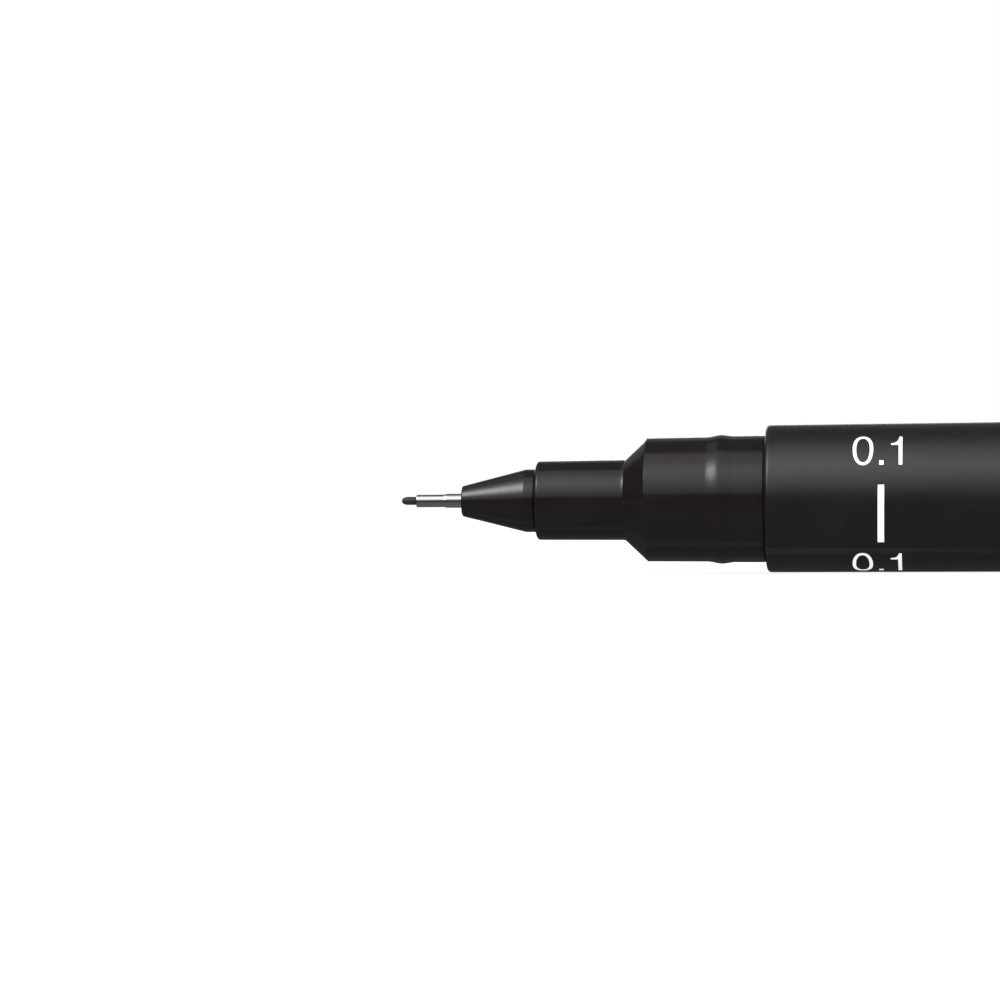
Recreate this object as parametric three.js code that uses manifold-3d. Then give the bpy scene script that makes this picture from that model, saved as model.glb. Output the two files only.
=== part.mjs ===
// Technical pen (pigment fineliner, 0.1 mm line), uncapped for drawing, with its cap posted on the tail.
//
// The pen lies on a flat surface, point towards -X, cap towards +X, +Z up. The origin is on that surface,
// under the middle of the bounding box. It rests on its barrel and on one edge of the pocket clip,
// which is what keeps a real pen of this kind from rolling.
//
// Everything on the pen's own axis is turned. u is the distance in mm behind the writing point, and
// w is the distance in mm behind the mouth of the cap.

import * as THREE from "three";
import { mergeVertices } from "three/addons/utils/BufferGeometryUtils.js";
import Module from "manifold-3d";

const wasm = await Module();
wasm.setup();

// ---------------------------------------------------------------- driving dimensions, mm
const SEG = 40; // facets round the large turned parts
const SEG_MID = 32; // and round the middle-sized ones
const SEG_FINE = 20; // and round the needle parts

// writing point
const NIB_R = 0.288; // plastic capillary rod
const NIB_END_U = 13.5;
const SLEEVE_FRONT_U = 1.1;
const SLEEVE_STEP_U = [3.1, 3.4];
const SLEEVE_END_U = 8.4;
const SLEEVE_R = [0.465, 0.52]; // in front of the step, behind it
const SLEEVE_BORE_R = 0.33;

// nib holder, the cone that grips the sleeve
const HOLDER_FRONT_U = 4.5;
const HOLDER_CONE_U = [4.64, 9.2];
const HOLDER_CONE_R = [1.145, 2.31];
const HOLDER_FLANGE_END_U = 9.95;
const HOLDER_SPIGOT_R = 2.0;
const HOLDER_END_U = 18.2;

// front section: neck, shoulder cone, cap seat with its snap rib, and the plug inside the barrel
const SECTION_FRONT_U = 10.03;
const NECK_U = [10.38, 16.58];
const NECK_R = [2.89, 2.96];
const SEAT_U = [18.15, 26.83];
const SEAT_R = [4.52, 4.63];
const RIB_U = 23.6;
const RIB_R = 4.715;
const SECTION_BORE_R = 2.08;
const SECTION_END_U = 36.0;

// barrel
const BARREL_U = [26.88, 113.0];
const BARREL_FRONT_R = 5.377;
const BARREL_R = 5.457; // 10.9 mm over most of its length
const BARREL_TAPER_END_U = 44;
const BARREL_BORE_R = 4.7;
const BARREL_EDGE = 0.35;

// tail plug: closes the barrel and carries the posted cap
const TAIL_R = 4.6;
const TAIL_RIB_U = 116.8;
const TAIL_RIB_R = 4.69;
const TAIL_U = [103.6, 125.0];

// ink system
const WICK_R = 0.95;
const WICK_U = [13.9, 29.0];
const RESERVOIR_R = 3.68;
const RESERVOIR_U = [24.4, 103.0];
const WRAP_T = 0.12;

// cap, posted on the tail plug
const CAP_MOUTH_U = 113.3; // where w is 0 when the cap is posted
const CAP_LENGTH = 39.2;
const CAP_R = 5.457;
const CAP_END_R = 5.33;
const CAP_BORE_R = 4.8;
const CAP_BEAD_R = 4.745; // snap bead just inside the mouth
const LEDGE_W = [26.4, 27.3];
const LEDGE_R = 4.15;
const LINER_W = [12.3, 29.4]; // inner cap, which seals round the neck when the pen is capped
const LINER_BORE_R = 3.02;
const LINER_R = 3.62;
const CROWN_W = [36.4, 39.5];
const CROWN_R = 4.7;

// pocket clip, a bent spring-steel strip
const CLIP_T = 0.45;
const CLIP_ROOT_W = 34.7;
const CLIP_OUT_R = 6.8; // strip's middle line over the root
const CLIP_HALF_WIDTH = [2.0, 1.5]; // at the root, at the free end
const SLOT_W = [34.15, 35.25];
const SLOT_HALF_WIDTH = 2.35;

const PEN_LENGTH = CAP_MOUTH_U + CROWN_W[1]; // point to end of the posted cap

// ---------------------------------------------------------------- helpers
const area = (p) => p.reduce((s, a, i) => s + a[0] * p[(i + 1) % p.length][1] - p[(i + 1) % p.length][0] * a[1], 0);

// Turns a closed outline of [u, r] points round the X axis.
function turned(outline, segments) {
  const pts = outline.map(([u, r]) => [Math.max(r, 0), u]);
  if (area(pts) < 0) pts.reverse();
  // a solid piece starts and ends on the axis, a ring closes on itself
  const onAxis = pts.map((p) => p[0] === 0);
  let list;
  if (onAxis.some(Boolean)) {
    const n = pts.length;
    const start = onAxis.findIndex((a, i) => a && onAxis[(i + n - 1) % n]);
    list = Array.from({ length: n }, (_, i) => pts[(start + i) % n]);
  } else {
    list = [...pts, pts[0]];
  }
  const g = new THREE.LatheGeometry(
    list.map(([r, y]) => new THREE.Vector2(r, y)),
    segments,
    Math.PI / segments,
    2 * Math.PI,
  );
  g.rotateZ(-Math.PI / 2); // the axis of turning becomes +X, and a facet lies at the bottom
  return g;
}

// A closed geometry as a manifold-3d solid, and back.
function solid(geometry) {
  const g = geometry.index ? geometry.toNonIndexed() : geometry.clone();
  g.deleteAttribute("normal");
  g.deleteAttribute("uv");
  const m = mergeVertices(g, 1e-4);
  return new wasm.Manifold(
    new wasm.Mesh({
      numProp: 3,
      vertProperties: new Float32Array(m.attributes.position.array),
      triVerts: new Uint32Array(m.index.array),
    }),
  );
}
function geometryOf(manifold) {
  const m = manifold.getMesh();
  const pos = new Float32Array((m.vertProperties.length / m.numProp) * 3);
  for (let i = 0; i < pos.length / 3; i++) for (let k = 0; k < 3; k++) pos[3 * i + k] = m.vertProperties[i * m.numProp + k];
  const g = new THREE.BufferGeometry();
  g.setAttribute("position", new THREE.BufferAttribute(pos, 3));
  g.setIndex(new THREE.BufferAttribute(new Uint32Array(m.triVerts), 1));
  g.computeVertexNormals();
  return g;
}
const box = (x0, x1, y0, y1, z0, z1) => new THREE.BoxGeometry(x1 - x0, y1 - y0, z1 - z0).translate((x0 + x1) / 2, (y0 + y1) / 2, (z0 + z1) / 2);

// Points of a quarter round from a to b, bulging to the outside corner c.
function quarter(a, c, b, n = 3) {
  const out = [];
  for (let i = 1; i < n; i++) {
    const t = (i / n) * (Math.PI / 2);
    const s = Math.sin(t),
      k = Math.cos(t);
    // a point on the ellipse whose corner is c
    out.push([c[0] + (a[0] - c[0]) * (1 - s) + (b[0] - c[0]) * (1 - k), c[1] + (a[1] - c[1]) * (1 - s) + (b[1] - c[1]) * (1 - k)]);
  }
  return [a, ...out, b];
}

const paint = (color, roughness, metalness) => new THREE.MeshStandardMaterial({ color, roughness, metalness });
const satinBlack = paint(0x2b2b2c, 0.55, 0);
const glossBlack = paint(0x1c1b1c, 0.16, 0);
const steel = paint(0xc9c9c6, 0.22, 1);
const nibGrey = paint(0x2c2e31, 0.6, 0);
const fibre = paint(0x24262a, 0.95, 0);
const wickWhite = paint(0xd8d6cf, 0.9, 0);
const film = paint(0xe6e6e2, 0.3, 0);
const linerGrey = paint(0x4a4b4d, 0.45, 0);

function mesh(name, geometry, material) {
  const m = new THREE.Mesh(geometry, material);
  m.name = name;
  return m;
}

// ---------------------------------------------------------------- writing point
const nib = mesh(
  "nib",
  turned(
    [
      [0, 0],
      [0.03, 0.12],
      [0.12, 0.205],
      [0.26, 0.262],
      [0.42, NIB_R],
      [NIB_END_U, NIB_R],
      [NIB_END_U, 0],
    ],
    SEG_FINE,
  ),
  nibGrey,
);

const nibSleeve = mesh(
  "nib_sleeve",
  turned(
    [
      [SLEEVE_FRONT_U, SLEEVE_BORE_R],
      [SLEEVE_FRONT_U, SLEEVE_R[0] - 0.06],
      [SLEEVE_FRONT_U + 0.06, SLEEVE_R[0]],
      [SLEEVE_STEP_U[0], SLEEVE_R[0]],
      [SLEEVE_STEP_U[1], SLEEVE_R[1]],
      [SLEEVE_END_U, SLEEVE_R[1]],
      [SLEEVE_END_U, SLEEVE_BORE_R],
    ],
    SEG_FINE,
  ),
  steel,
);

const nibHolder = mesh(
  "nib_holder",
  turned(
    [
      [HOLDER_FRONT_U, 0.56],
      [HOLDER_FRONT_U, 0.86],
      [HOLDER_FRONT_U + 0.04, 1.0],
      [HOLDER_CONE_U[0], HOLDER_CONE_R[0]],
      [HOLDER_CONE_U[1], HOLDER_CONE_R[1]],
      [HOLDER_FLANGE_END_U, HOLDER_CONE_R[1]],
      [HOLDER_FLANGE_END_U, HOLDER_SPIGOT_R],
      [HOLDER_END_U - 0.4, HOLDER_SPIGOT_R],
      [HOLDER_END_U, HOLDER_SPIGOT_R - 0.25],
      [HOLDER_END_U, 1.06],
      [NIB_END_U + 0.2, 1.06],
      [NIB_END_U - 0.4, 0.36],
      [SLEEVE_END_U + 0.15, 0.36],
      [SLEEVE_END_U + 0.15, 0.56],
    ],
    SEG_MID,
  ),
  glossBlack,
);

// ---------------------------------------------------------------- front section
const section = mesh(
  "front_section",
  turned(
    [
      [SECTION_FRONT_U, SECTION_BORE_R],
      ...quarter([SECTION_FRONT_U, 2.52], [SECTION_FRONT_U, NECK_R[0]], [NECK_U[0], NECK_R[0]], 3),
      [NECK_U[1], NECK_R[1]],
      [SEAT_U[0], SEAT_R[0]],
      [RIB_U - 1.1, 4.57],
      [RIB_U - 0.55, 4.64],
      [RIB_U - 0.1, RIB_R],
      [RIB_U + 0.16, RIB_R],
      [RIB_U + 0.52, 4.665],
      [RIB_U + 0.86, 4.622],
      [SEAT_U[1], SEAT_R[1]],
      [SECTION_END_U - 0.8, 4.6],
      [SECTION_END_U, 4.3],
      [SECTION_END_U, 3.98],
      [21.2, 3.98],
      [18.9, SECTION_BORE_R],
    ],
    SEG,
  ),
  glossBlack,
);

// ---------------------------------------------------------------- barrel
const barrelTube = turned(
  [
    [BARREL_U[0], BARREL_BORE_R],
    ...quarter([BARREL_U[0], BARREL_FRONT_R - BARREL_EDGE], [BARREL_U[0], BARREL_FRONT_R], [BARREL_U[0] + BARREL_EDGE, BARREL_FRONT_R], 3),
    [BARREL_TAPER_END_U, BARREL_R - 0.02],
    [BARREL_TAPER_END_U + 8, BARREL_R],
    ...quarter([BARREL_U[1] - BARREL_EDGE, BARREL_R], [BARREL_U[1], BARREL_R], [BARREL_U[1], BARREL_R - BARREL_EDGE], 3),
    [BARREL_U[1], BARREL_BORE_R],
  ],
  SEG,
);
// six ribs inside hold the reservoir clear of the wall, and the channels between them let air in
let barrelSolid = solid(barrelTube);
for (let i = 0; i < 6; i++) {
  const rib = box(42, 101.5, -0.3, 0.3, RESERVOIR_R + WRAP_T + 0.16, BARREL_BORE_R + 0.25);
  rib.rotateX((i * Math.PI) / 3);
  barrelSolid = barrelSolid.add(solid(rib));
}
const barrel = mesh("barrel", geometryOf(barrelSolid), satinBlack);

// ---------------------------------------------------------------- tail plug
const tailPlug = mesh(
  "tail_plug",
  turned(
    [
      [TAIL_U[0], 3.9],
      [TAIL_U[0], TAIL_R - 0.25],
      [TAIL_U[0] + 0.7, TAIL_R],
      [TAIL_RIB_U - 0.7, TAIL_R],
      [TAIL_RIB_U - 0.2, TAIL_RIB_R],
      [TAIL_RIB_U + 0.2, TAIL_RIB_R],
      [TAIL_RIB_U + 0.9, TAIL_R - 0.02],
      ...quarter([TAIL_U[1] - 0.7, TAIL_R - 0.06], [TAIL_U[1], TAIL_R - 0.06], [TAIL_U[1], TAIL_R - 0.76], 3),
      [TAIL_U[1], 0],
      [TAIL_U[1] - 1.3, 0],
      [TAIL_U[1] - 1.3, 3.6],
      [TAIL_U[1] - 1.8, 3.9],
    ],
    SEG,
  ),
  satinBlack,
);

// ---------------------------------------------------------------- ink system
const feedWick = mesh(
  "feed_wick",
  turned(
    [
      [WICK_U[0], 0],
      [WICK_U[0], 0.62],
      [WICK_U[0] + 0.9, WICK_R],
      [WICK_U[1] - 0.5, WICK_R],
      [WICK_U[1], WICK_R - 0.3],
      [WICK_U[1], 0],
    ],
    SEG_FINE,
  ),
  wickWhite,
);

const inkReservoir = mesh(
  "ink_reservoir",
  turned(
    [
      [WICK_U[1] + 0.25, 0],
      [WICK_U[1] + 0.25, WICK_R + 0.08],
      [RESERVOIR_U[0], WICK_R + 0.08],
      [RESERVOIR_U[0], RESERVOIR_R],
      [RESERVOIR_U[1], RESERVOIR_R],
      [RESERVOIR_U[1], 0],
    ],
    SEG_MID,
  ),
  fibre,
);

const reservoirWrap = mesh(
  "reservoir_wrap",
  turned(
    [
      [RESERVOIR_U[0] - 0.2, RESERVOIR_R + 0.05],
      [RESERVOIR_U[0] - 0.2, RESERVOIR_R + 0.05 + WRAP_T],
      [RESERVOIR_U[1] + 0.2, RESERVOIR_R + 0.05 + WRAP_T],
      [RESERVOIR_U[1] + 0.2, RESERVOIR_R + 0.05],
    ],
    SEG_MID,
  ),
  film,
);

// ---------------------------------------------------------------- how the pen lies
// The clip leans down towards -Y until its outer edge just meets the surface that the barrel lies on.
const axisHeight = BARREL_R * Math.cos(Math.PI / SEG); // a facet lies on the surface
const clipEdge = [CLIP_HALF_WIDTH[0], CLIP_OUT_R + CLIP_T / 2];
const clipEdgeR = Math.hypot(...clipEdge);
const clearance = 0.03;
const clipFromDown = Math.acos((axisHeight - clearance) / clipEdgeR) + Math.atan2(clipEdge[0], clipEdge[1]);
const clipTurn = Math.PI - clipFromDown; // from +Z, turning about +X towards -Y
const clipLow = clipEdgeR * Math.sin(clipFromDown + Math.atan2(clipEdge[0], clipEdge[1])); // furthest the clip's edges reach in -Y
const clipFar = Math.max(clipLow, clipEdgeR * Math.sin(clipFromDown - Math.atan2(clipEdge[0], clipEdge[1])));
const axisY = (Math.max(clipFar, BARREL_R) - axisHeight) / 2; // centres the bounding box on Y = 0

// ---------------------------------------------------------------- cap
const capTube = turned(
  [
    [0, CAP_BORE_R + 0.16],
    ...quarter([0, CAP_R - 0.3], [0, CAP_R], [0.3, CAP_R], 3),
    [14, CAP_R],
    [CAP_LENGTH - 0.7, CAP_END_R],
    ...quarter([CAP_LENGTH - 0.55, CAP_END_R], [CAP_LENGTH, CAP_END_R], [CAP_LENGTH, CAP_END_R - 0.45], 3).slice(1),
    [CAP_LENGTH, CAP_BORE_R],
    [LEDGE_W[1], CAP_BORE_R],
    [LEDGE_W[1], LEDGE_R],
    [LEDGE_W[0], LEDGE_R],
    [LEDGE_W[0] - 0.65, CAP_BORE_R],
    [2.7, CAP_BORE_R],
    [2.35, CAP_BEAD_R],
    [1.85, CAP_BEAD_R],
    [1.4, CAP_BORE_R],
    [0.4, CAP_BORE_R],
  ],
  SEG,
);
const slot = box(SLOT_W[0], SLOT_W[1], -SLOT_HALF_WIDTH, SLOT_HALF_WIDTH, 3.6, 7).rotateX(clipTurn);
const capShell = mesh("cap_shell", geometryOf(solid(capTube).subtract(solid(slot))), satinBlack);

const innerCap = mesh(
  "inner_cap",
  turned(
    [
      [LINER_W[0], LINER_BORE_R + 0.25],
      [LINER_W[0], LINER_R - 0.12],
      [LINER_W[0] + 0.5, LINER_R],
      [LINER_W[1] - 1.8, LINER_R],
      [LINER_W[1] - 1.8, CAP_BORE_R - 0.08],
      [LINER_W[1], CAP_BORE_R - 0.08],
      [LINER_W[1], 0],
      [LINER_W[1] - 1.5, 0],
      [LINER_W[1] - 1.5, LINER_BORE_R - 0.5],
      [LINER_W[1] - 2.2, LINER_BORE_R],
      [LINER_W[0] + 1.0, LINER_BORE_R],
    ],
    SEG_MID,
  ),
  linerGrey,
);

const capCrown = mesh(
  "cap_crown",
  turned(
    [
      [CROWN_W[0], 0],
      [CROWN_W[0], CROWN_R - 0.3],
      [CROWN_W[0] + 0.4, CROWN_R],
      [CROWN_W[1] - 0.25, CROWN_R],
      [CROWN_W[1], CROWN_R - 0.25],
      [CROWN_W[1], 0],
    ],
    SEG,
  ),
  glossBlack,
);

// ---------------------------------------------------------------- pocket clip
// Side outline of the bent strip: its middle line, thickened. x is w, y is the distance from the pen's axis.
const clipLine = [
  [CLIP_ROOT_W, 3.5],
  [CLIP_ROOT_W, 5.9],
  [CLIP_ROOT_W - 0.08, 6.28],
  [CLIP_ROOT_W - 0.32, 6.6],
  [CLIP_ROOT_W - 0.68, 6.77],
  [CLIP_ROOT_W - 1.1, CLIP_OUT_R],
  [24, 6.66],
  [13.5, 6.4],
  [11.2, 6.2],
  [9.4, 6.04],
  [8.2, 6.08],
  [7.2, 6.26],
  [6.3, 6.56],
];
function offsetLine(line, d) {
  return line.map((p, i) => {
    const a = line[Math.max(i - 1, 0)],
      b = line[Math.min(i + 1, line.length - 1)];
    const l = Math.hypot(b[0] - a[0], b[1] - a[1]);
    const n = [-(b[1] - a[1]) / l, (b[0] - a[0]) / l];
    return [p[0] + n[0] * d, p[1] + n[1] * d];
  });
}
const sideOutline = [...offsetLine(clipLine, CLIP_T / 2), ...offsetLine(clipLine, -CLIP_T / 2).reverse()];
const sideShape = new THREE.Shape(sideOutline.map(([x, y]) => new THREE.Vector2(x, y)));
const sideBar = new THREE.ExtrudeGeometry(sideShape, { depth: 6, bevelEnabled: false, steps: 1 }); // x, y, depth along z
sideBar.translate(0, 0, -3);
sideBar.rotateX(Math.PI / 2); // y becomes +Z (away from the axis), z becomes -Y
// plan outline: tapers to a rounded free end
const tipW = 6.0;
const plan = [
  [36, CLIP_HALF_WIDTH[0]],
  [CLIP_ROOT_W - 1.1, CLIP_HALF_WIDTH[0]],
  [tipW + 1.6, CLIP_HALF_WIDTH[1]],
  [tipW + 0.75, CLIP_HALF_WIDTH[1] - 0.18],
  [tipW + 0.2, CLIP_HALF_WIDTH[1] - 0.7],
  [tipW, 0.35],
];
const planShape = new THREE.Shape([...plan, ...plan.map(([x, y]) => [x, -y]).reverse()].map(([x, y]) => new THREE.Vector2(x, y)));
const planBar = new THREE.ExtrudeGeometry(planShape, { depth: 10, bevelEnabled: false, steps: 1 }); // x, y, depth along z
const clip = mesh("clip", geometryOf(solid(sideBar).intersect(solid(planBar))), steel);

// ---------------------------------------------------------------- assembly

const clipGroup = new THREE.Group();
clipGroup.rotation.x = clipTurn;
clipGroup.add(clip);

const capGroup = new THREE.Group();
capGroup.position.set(CAP_MOUTH_U, 0, 0);
capGroup.add(capShell, innerCap, capCrown, clipGroup);

const pen = new THREE.Group();
pen.position.set(-PEN_LENGTH / 2, axisY, axisHeight);
pen.add(nib, nibSleeve, nibHolder, section, barrel, tailPlug, feedWick, inkReservoir, reservoirWrap, capGroup);

const object = new THREE.Group();
object.add(pen);
export default object;
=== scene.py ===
import math

import bmesh
import bpy
from mathutils import Matrix, Quaternion, Vector, geometry


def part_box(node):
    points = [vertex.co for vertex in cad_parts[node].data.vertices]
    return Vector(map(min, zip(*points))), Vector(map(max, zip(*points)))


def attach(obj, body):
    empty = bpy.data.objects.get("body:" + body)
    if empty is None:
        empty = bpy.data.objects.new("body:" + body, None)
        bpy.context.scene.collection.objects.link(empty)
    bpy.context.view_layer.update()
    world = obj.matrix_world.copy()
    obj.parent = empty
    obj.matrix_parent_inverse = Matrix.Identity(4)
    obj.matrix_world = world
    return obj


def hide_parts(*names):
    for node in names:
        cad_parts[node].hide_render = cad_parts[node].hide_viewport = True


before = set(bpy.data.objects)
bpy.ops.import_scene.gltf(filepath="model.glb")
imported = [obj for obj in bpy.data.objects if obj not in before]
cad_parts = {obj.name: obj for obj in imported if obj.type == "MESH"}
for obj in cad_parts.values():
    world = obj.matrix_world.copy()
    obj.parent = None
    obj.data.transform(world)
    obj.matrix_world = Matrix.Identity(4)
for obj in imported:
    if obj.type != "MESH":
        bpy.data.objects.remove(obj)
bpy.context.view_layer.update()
scene = bpy.context.scene
MM = 0.001

# ------------------------------------------------------------------ where the pen lies, from the frame
low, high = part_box("barrel")
AX_Y, AX_Z = (low.y + high.y) / 2, (low.z + high.z) / 2   # the pen's axis runs along +X through here
TIP_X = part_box("nib")[0].x                                 # u is 0 here
CAP_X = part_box("cap_shell")[0].x                           # w is 0 here
# the clip's direction from the axis, from its own box
clip_low, clip_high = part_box("clip")


def clip_direction():
    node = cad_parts["clip"]
    co = [v.co for v in node.data.vertices]
    mean = sum((Vector((0, c.y - AX_Y, c.z - AX_Z)) for c in co), Vector())
    return mean.normalized()


CLIP_DIR = clip_direction()

# ------------------------------------------------------------------ camera
VIEW_AZ = math.radians(6.6)
LENS, SENSOR = 140.0, 36.0
PX_PER_MM = 13.6
cam_data = bpy.data.cameras.new("camera")
cam_data.lens, cam_data.sensor_width = LENS, SENSOR
cam_data.clip_start, cam_data.clip_end = 0.01, 20
camera = bpy.data.objects.new("camera", cam_data)
scene.collection.objects.link(camera)
distance = 1000 * LENS / SENSOR / (PX_PER_MM / MM)
aim = Vector((TIP_X + 7.275 * MM, AX_Y, AX_Z + 0.064 * MM))
back = Vector((math.sin(VIEW_AZ), -math.cos(VIEW_AZ), 0))
camera.location = aim + back * distance
camera.rotation_mode = "QUATERNION"
camera.rotation_quaternion = (-back).to_track_quat("-Z", "Y") @ Quaternion((0, 0, 1), math.radians(-0.454))
scene.camera = camera
scene.view_settings.view_transform = "Standard"
scene.view_settings.look = "None"

# ------------------------------------------------------------------ stage and light
def link(obj):
    scene.collection.objects.link(obj)
    return obj


def stage_material(name, emission, albedo):
    m = bpy.data.materials.new(name)
    m.use_nodes = True
    nt = m.node_tree
    nt.nodes.clear()
    out = nt.nodes.new("ShaderNodeOutputMaterial")
    em = nt.nodes.new("ShaderNodeEmission")
    em.inputs["Color"].default_value = (1.0, 1.0, 1.0, 1)
    em.inputs["Strength"].default_value = emission
    if albedo:
        add = nt.nodes.new("ShaderNodeAddShader")
        df = nt.nodes.new("ShaderNodeBsdfDiffuse")
        df.inputs["Color"].default_value = (albedo, albedo, albedo, 1)
        nt.links.new(em.outputs[0], add.inputs[0])
        nt.links.new(df.outputs[0], add.inputs[1])
        nt.links.new(add.outputs[0], out.inputs["Surface"])
    else:
        nt.links.new(em.outputs[0], out.inputs["Surface"])
    return m


def disc(name, radius, z, n=96):
    me = bpy.data.meshes.new(name)
    me.from_pydata([(radius * math.cos(2 * math.pi * i / n), radius * math.sin(2 * math.pi * i / n), z) for i in range(n)], [], [list(range(n))])
    return link(bpy.data.objects.new(name, me))


floor = disc("floor", 3.6, 0.0)
floor.data.materials.append(stage_material("floor_pale", 0.86, 0.20))
floor.visible_glossy = False      # the pen is lit by its softboxes, not by the floor
floor.visible_diffuse = False

bm = bmesh.new()
bmesh.ops.create_uvsphere(bm, u_segments=48, v_segments=24, radius=3.9)
dome_mesh = bpy.data.meshes.new("backdrop")
bm.to_mesh(dome_mesh)
bm.free()
dome = link(bpy.data.objects.new("backdrop", dome_mesh))
dome_mesh.materials.append(stage_material("backdrop_pale", 1.0, 0))
for way in ("visible_glossy", "visible_diffuse", "visible_transmission", "visible_volume_scatter", "visible_shadow"):
    setattr(dome, way, False)


def softbox(name, centre, facing, along, width, height, radiance, colour=(1, 1, 1)):
    """A one-sided rectangle of light at centre, facing the point, its width along the given direction."""
    data = bpy.data.lights.new(name, "AREA")
    data.shape = "RECTANGLE"
    data.size, data.size_y = width, height
    data.energy = radiance * math.pi * width * height
    data.color = colour
    o = link(bpy.data.objects.new(name, data))
    z = (Vector(centre) - Vector(facing)).normalized()
    x = (Vector(along) - z * Vector(along).dot(z)).normalized()
    y = z.cross(x)
    o.matrix_world = Matrix.Translation(centre) @ Matrix((x, y, z)).transposed().to_4x4()
    o.visible_camera = False
    return o


def on_arc(angle, dist, x=0.0):
    """A point at that many degrees above the front horizon (90 straight up, over 90 behind), round the pen's front."""
    a = math.radians(angle)
    return Vector((x, AX_Y - dist * math.cos(a), AX_Z + dist * math.sin(a)))


def graded(obj, along_height, along_width=None):
    """Grades a softbox's brightness over its face: stops of (place, level), from its lower to its upper edge and along it."""
    data = obj.data
    data.use_nodes = True
    nt = data.node_tree
    nt.nodes.clear()
    out = nt.nodes.new("ShaderNodeOutputLight")
    em = nt.nodes.new("ShaderNodeEmission")
    geo = nt.nodes.new("ShaderNodeNewGeometry")
    sep = nt.nodes.new("ShaderNodeSeparateXYZ")
    nt.links.new(geo.outputs["Parametric"], sep.inputs[0])
    level = None
    for socket, stops in (("Y", along_height), ("X", along_width)):
        if not stops:
            continue
        r = nt.nodes.new("ShaderNodeValToRGB")
        r.color_ramp.interpolation = "EASE"
        while len(r.color_ramp.elements) < len(stops):
            r.color_ramp.elements.new(0.5)
        for e, (at, v) in zip(r.color_ramp.elements, stops):
            e.position = at
            e.color = (v, v, v, 1)
        nt.links.new(sep.outputs[socket], r.inputs[0])
        if level is None:
            level = r.outputs["Color"]
        else:
            m = nt.nodes.new("ShaderNodeMath")
            m.operation = "MULTIPLY"
            nt.links.new(level, m.inputs[0])
            nt.links.new(r.outputs["Color"], m.inputs[1])
            level = m.outputs[0]
    nt.links.new(level, em.inputs["Strength"])
    nt.links.new(em.outputs[0], out.inputs["Surface"])


X_FRONT = TIP_X + 24 * MM
aim_x = Vector((X_FRONT + 0.10, AX_Y, AX_Z))
wide = softbox("softbox_wide", on_arc(53, 0.5, X_FRONT + 0.10), aim_x, (1, 0, 0), 1.7, 0.93, 2.05, (0.97, 0.985, 1.0))
graded(
    wide,
    [(0.0, 0.20), (0.05, 0.26), (0.16, 0.38), (0.25, 0.53), (0.34, 0.67), (0.42, 0.83), (0.53, 0.85), (0.57, 0.79), (0.65, 0.60), (0.75, 0.44), (0.88, 0.33), (1.0, 0.25)],
    [(0.0, 0.8), (0.38, 0.9), (0.395, 0.95), (0.405, 0.85), (0.42, 0.73), (0.45, 0.71), (1.0, 0.7)],
)
# a tall bright head beyond the point, which the flanks that face the point pick up
key_dir = Vector((-0.438, -0.571, 0.694)).normalized()
key_at = Vector((X_FRONT - 0.006, AX_Y, AX_Z)) + 0.46 * key_dir
key = softbox("key_head", key_at, (X_FRONT - 0.006, AX_Y, AX_Z), (1, 0, 0), 0.196, 0.62, 10.1, (1.0, 0.995, 0.98))
graded(
    key,
    [(0.0, 0.0), (0.13, 0.01), (0.27, 0.08), (0.365, 0.34), (0.45, 0.73), (0.535, 1.0), (0.62, 0.90), (0.72, 0.46), (0.84, 0.13), (1.0, 0.04)],
    [(0.0, 0.5), (0.2, 0.78), (0.32, 0.72), (0.42, 0.6), (0.6, 0.48), (0.85, 0.36), (1.0, 0.2)],
)
# a dim one beyond the point and overhead, for the upper edge of the cone
softbox("key_top", Vector((X_FRONT - 0.006, AX_Y, AX_Z)) + 0.5 * Vector((-0.40, 0.28, 0.87)).normalized(), (X_FRONT - 0.006, AX_Y, AX_Z), (1, 0, 0), 0.24, 0.30, 0.22)
# a low strip behind, which only the top edge and the shoulder see from the front
softbox("rear_strip", Vector((X_FRONT - 0.1, AX_Y + 0.62, AX_Z + 0.30)), (X_FRONT - 0.1, AX_Y, AX_Z), (1, 0, 0), 1.9, 0.34, 0.17)
softbox("rear_low", Vector((X_FRONT + 0.05, AX_Y + 0.8, AX_Z + 0.125)), aim_x, (1, 0, 0), 2.2, 0.18, 2.2)

world = bpy.data.worlds.new("studio")
scene.world = world
world.use_nodes = True
nt = world.node_tree
nt.nodes.clear()
wout = nt.nodes.new("ShaderNodeOutputWorld")
wbg = nt.nodes.new("ShaderNodeBackground")
wtc = nt.nodes.new("ShaderNodeTexCoord")
wsep = nt.nodes.new("ShaderNodeSeparateXYZ")
wmap = nt.nodes.new("ShaderNodeMapRange")
wmap.inputs["From Min"].default_value = -1
wmap.inputs["From Max"].default_value = 1
wramp = nt.nodes.new("ShaderNodeValToRGB")
nt.links.new(wtc.outputs["Generated"], wsep.inputs[0])
nt.links.new(wsep.outputs["Z"], wmap.inputs["Value"])
nt.links.new(wmap.outputs[0], wramp.inputs[0])
nt.links.new(wramp.outputs["Color"], wbg.inputs["Color"])
wfill = nt.nodes.new("ShaderNodeBackground")        # an even white room for scattered light, a dim one for reflections
wfill.inputs["Color"].default_value = (1.0, 1.0, 1.0, 1)
wfill.inputs["Strength"].default_value = 1.14
wpath = nt.nodes.new("ShaderNodeLightPath")
wmix = nt.nodes.new("ShaderNodeMixShader")
nt.links.new(wpath.outputs["Is Diffuse Ray"], wmix.inputs[0])
nt.links.new(wbg.outputs[0], wmix.inputs[1])
nt.links.new(wfill.outputs[0], wmix.inputs[2])
nt.links.new(wmix.outputs[0], wout.inputs["Surface"])
ramp = wramp.color_ramp
ramp.interpolation = "EASE"
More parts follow.
